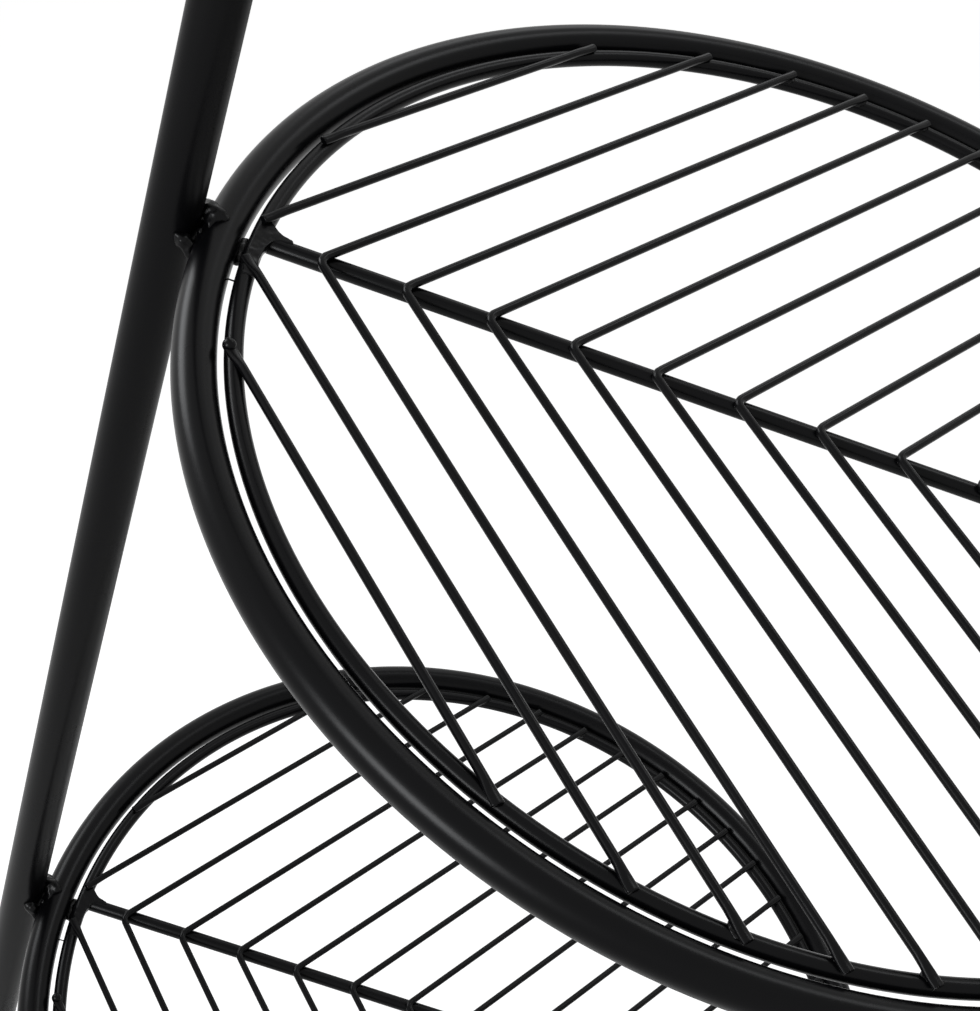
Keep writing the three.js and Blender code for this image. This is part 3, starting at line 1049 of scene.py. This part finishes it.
class STAND_OT_hoops(bpy.types.Operator):
    """Adds the thick tube hoop round each tray"""

    bl_idname = "stand.hoops"
    bl_label = "Hoops"

    def execute(self, context):
        sizes = context.scene.stand_trays
        for tier in TIERS:
            height = tier_height(tier)
            shape = bmesh.new()
            add_ring_shape(shape, sizes.hoop_radius, sizes.hoop_diameter, height, HOOP_SIDES)
            name = tier + "_hoop"
            add_coated(name, mesh_from(name, shape, None), tier + "_tray_hoop")
        return {"FINISHED"}


class STAND_OT_rims(bpy.types.Operator):
    """Adds the rod rim of each tray, with the straight stem wires next to the left post"""

    bl_idname = "stand.rims"
    bl_label = "Rims"

    def execute(self, context):
        sizes = context.scene.stand_trays
        near_inset = 0.8 * MM
        near_dip = 0.9 * MM
        blob_radius = 1.9 * MM
        for tier in TIERS:
            height = tier_height(tier)
            shape = bmesh.new()
            rim = height + sizes.rim_rise
            add_ring_shape(shape, sizes.rim_radius, sizes.rod_diameter, rim, ROD_SIDES)
            for index in range(1, sizes.stem_count + 1):
                corner = corner_at(sizes, -index, height)
                for lean, press in ((sizes.far_angle, sizes.far_press), (sizes.near_angle, sizes.near_press)):
                    start, end = arm_crossings(sizes, corner, lean)
                    if lean < 0:
                        start += (end - start).normalized() * near_inset - Z_AXIS * near_dip
                    add_stem_wire(shape, start, end, sizes.wire_diameter / 2, sizes.cut_edge, press)
            # The last near wire starts in a round blob of weld metal.
            add_drop(shape, start, blob_radius)
            add_spatter_hair(shape, height)
            name = tier + "_rim"
            add_coated(name, mesh_from(name, shape, math.radians(60)), tier + "_tray_rim")
        return {"FINISHED"}


def add_spatter_hair(shape, height):
    """A hair of weld spatter across the slit between hoop and rim, near the left post."""
    y = -18.7 * MM
    spots = ((-171.4, 2.6), (-170, 3.4), (-168.2, 3.4))
    hair = [Vector((x * MM, y, height + rise * MM)) for x, rise in spots]
    radius = 0.25 * MM
    loft(shape, rod_rings(hair, Y_AXIS, radius, HAIR_SIDES, radius / 5))


def corner_at(sizes, index, height):
    """Corner of a vein, counted from 0 at the left; below 0 the corners fall outside the rim."""
    x = sizes.first_vein + index * sizes.vein_pitch
    return Vector((x, x * math.tan(sizes.corner_turn), height + sizes.wire_rise))


def arm_crossings(sizes, corner, lean):
    """The two points where an arm's line meets the circle where the wires are cut off."""
    along = Vector((math.cos(lean), math.sin(lean), 0))
    middle = -corner.x * along.x - corner.y * along.y
    reach = sizes.wire_reach if lean > 0 else sizes.near_reach
    half = math.sqrt(reach ** 2 - corner.x ** 2 - corner.y ** 2 + middle ** 2)
    return [corner + along * (middle - half), corner + along * (middle + half)]


def add_stem_wire(shape, start, end, radius, edge, press):
    """A straight wire whose two ends are pressed wider and thinner by the welder."""
    along = (end - start).normalized()
    across = along.cross(Z_AXIS)
    steps = [step * MM for step in (0, 0.6, 1.5, 3, 4.5, 6, 7.5, 9)]
    path = [start + along * step for step in steps] + [end - along * step for step in reversed(steps)]
    rings = rod_rings(path, Z_AXIS, radius, WIRE_SIDES, edge)
    for points in rings:
        for point in points:
            off = point - (start if (point - start).length < (point - end).length else end)
            fade = min(1.0, max(0.0, (PRESS_FADE - off.length) / (PRESS_FADE - PRESS_FULL)))
            squeeze = press * fade * fade * (3 - 2 * fade)
            point += across * off.dot(across) * squeeze
            point -= Z_AXIS * (PRESS_FLATTEN * (off.z + radius) + PRESS_SINK) * squeeze
    loft(shape, rings)


class STAND_OT_midribs(bpy.types.Operator):
    """Adds the straight rod across the middle of each tray"""

    bl_idname = "stand.midribs"
    bl_label = "Midribs"

    def execute(self, context):
        sizes = context.scene.stand_trays
        for tier in TIERS:
            z = tier_height(tier) + sizes.rim_rise
            path = [Vector((share * MIDRIB_REACH, sizes.midrib_shift, z)) for share in (-1, -0.5, 0, 0.5, 1)]
            shape = bmesh.new()
            loft(shape, rod_rings(path, Z_AXIS, sizes.rod_diameter / 2, ROD_SIDES, sizes.cut_edge))
            name = tier + "_midrib"
            add_coated(name, mesh_from(name, shape, math.radians(60)), tier + "_tray_midrib")
        return {"FINISHED"}


class STAND_OT_veins(bpy.types.Operator):
    """Adds the bent wires of each tray, one piece for each"""

    bl_idname = "stand.veins"
    bl_label = "Veins"

    def execute(self, context):
        sizes = context.scene.stand_trays
        tree = vein_tree()
        coat = material_named("satin_black_powder_coat")
        for seed, tier in enumerate(TIERS):
            draws = random.Random(seed)
            for index in range(sizes.vein_count):
                number = "%02d" % (index + 1)
                name = tier + "_vein_" + number
                corner = corner_at(sizes, index, tier_height(tier))
                mesh = grown(name, tree, {
                    "Far End": arm_crossings(sizes, corner, sizes.far_angle)[1],
                    "Corner": corner,
                    "Near End": arm_crossings(sizes, corner, sizes.near_angle)[1],
                    "Bend Radius": sizes.vein_bend,
                    "Wire Radius": sizes.wire_diameter / 2,
                    "Far Bow": draws.uniform(-1, 1) * sizes.hand_bend,
                    "Near Bow": draws.uniform(-1, 1) * sizes.hand_bend,
                    "Far Press": sizes.far_press * draws.uniform(0.6, 1.4),
                    "Near Press": sizes.near_press * draws.uniform(0.7, 1.3),
                    "Material": coat,
                })
                mesh.set_sharp_from_angle(angle=math.radians(60))
                add_coated(name, mesh, tier + "_tray_vein_" + number)
        return {"FINISHED"}


class STAND_OT_grille_welds(bpy.types.Operator):
    """Adds the small welds that hold the bent wires down on the rim and the midrib"""

    bl_idname = "stand.grille_welds"
    bl_label = "Grille welds"

    def execute(self, context):
        sizes = context.scene.stand_trays
        welds = context.scene.stand_welds
        tree = nugget_tree()
        finish = material_named("glossy_powder_coat_on_weld")
        for seed, tier in enumerate(TIERS):
            contact = tier_height(tier) + sizes.rim_rise + sizes.rod_diameter / 2
            name = tier + "_grille_welds"
            mesh = grown(name, tree, {
                "Count": sizes.vein_count,
                "First Corner": sizes.first_vein,
                "Pitch": sizes.vein_pitch,
                "Corner Slope": math.tan(sizes.corner_turn),
                "Far Angle": sizes.far_angle,
                "Near Angle": sizes.near_angle,
                "Rim Radius": sizes.rim_radius - welds.nugget_inset,
                "Bend Offset": welds.bend_offset,
                "Height": contact - welds.nugget_sink,
                "Length": welds.nugget_length,
                "Width": welds.nugget_width,
                "Thickness": welds.nugget_thickness,
                "Seed": seed,
                "Material": finish,
            })
            add_piece(name, mesh, None, "powder_coat")
        return {"FINISHED"}


class STAND_OT_frame_welds(bpy.types.Operator):
    """Adds the welds of each tray's hoop to the posts, its rim to the hoop and its midrib to the rim"""

    bl_idname = "stand.frame_welds"
    bl_label = "Frame welds"

    def execute(self, context):
        sizes = context.scene.stand_trays
        welds = context.scene.stand_welds
        for number, tier in enumerate(TIERS):
            height = tier_height(tier)
            for label, side in SIDES:
                shape = bmesh.new()
                post_crease_welds(shape, side, height)
                rim_bridge_weld(shape, side, height)
                name = "_".join((tier, label, "post_weld"))
                seed = 11 * number + side
                mesh = fused(name, shape, welds.bead_voxel, welds.bead_roughness, welds.bead_grain, seed)
                add_piece(name, mesh, "glossy_powder_coat_on_weld", "powder_coat")
                shape = bmesh.new()
                midrib_web(shape, side, height, sizes, welds)
                name = "_".join((tier, label, "midrib_web"))
                seed = 5 * number + side
                mesh = fused(name, shape, welds.bead_voxel, welds.web_roughness, welds.web_grain, seed)
                add_coated(name, mesh)
        return {"FINISHED"}


class STAND_PT_panel(bpy.types.Panel):
    bl_label = "Plant Stand"
    bl_idname = "STAND_PT_panel"
    bl_space_type = "VIEW_3D"
    bl_region_type = "UI"
    bl_category = "Plant Stand"

    def draw(self, context):
        for operator in OPERATORS:
            self.layout.operator(operator.bl_idname)


GROUPS = {
    "stand_trays": TraySizes,
    "stand_tubes": TubeSizes,
    "stand_welds": WeldSizes,
    "stand_colours": FinishColours,
    "stand_stage": StageSizes,
}
OPERATORS = (
    STAND_OT_stage,
    STAND_OT_posts,
    STAND_OT_arch,
    STAND_OT_ferrules,
    STAND_OT_feet,
    STAND_OT_foot_welds,
    STAND_OT_glides,
    STAND_OT_hoops,
    STAND_OT_rims,
    STAND_OT_midribs,
    STAND_OT_veins,
    STAND_OT_grille_welds,
    STAND_OT_frame_welds,
)
CLASSES = (*GROUPS.values(), *OPERATORS, STAND_PT_panel)


def register():
    for cls in CLASSES:
        bpy.utils.register_class(cls)
    for name, group in GROUPS.items():
        setattr(bpy.types.Scene, name, PointerProperty(type=group))


def unregister():
    for name in GROUPS:
        delattr(bpy.types.Scene, name)
    for cls in reversed(CLASSES):
        bpy.utils.unregister_class(cls)


def main():
    register()
    for operator in OPERATORS:
        name = operator.bl_idname.split(".")[1]
        getattr(bpy.ops.stand, name)()


if __name__ == "__main__":
    main()
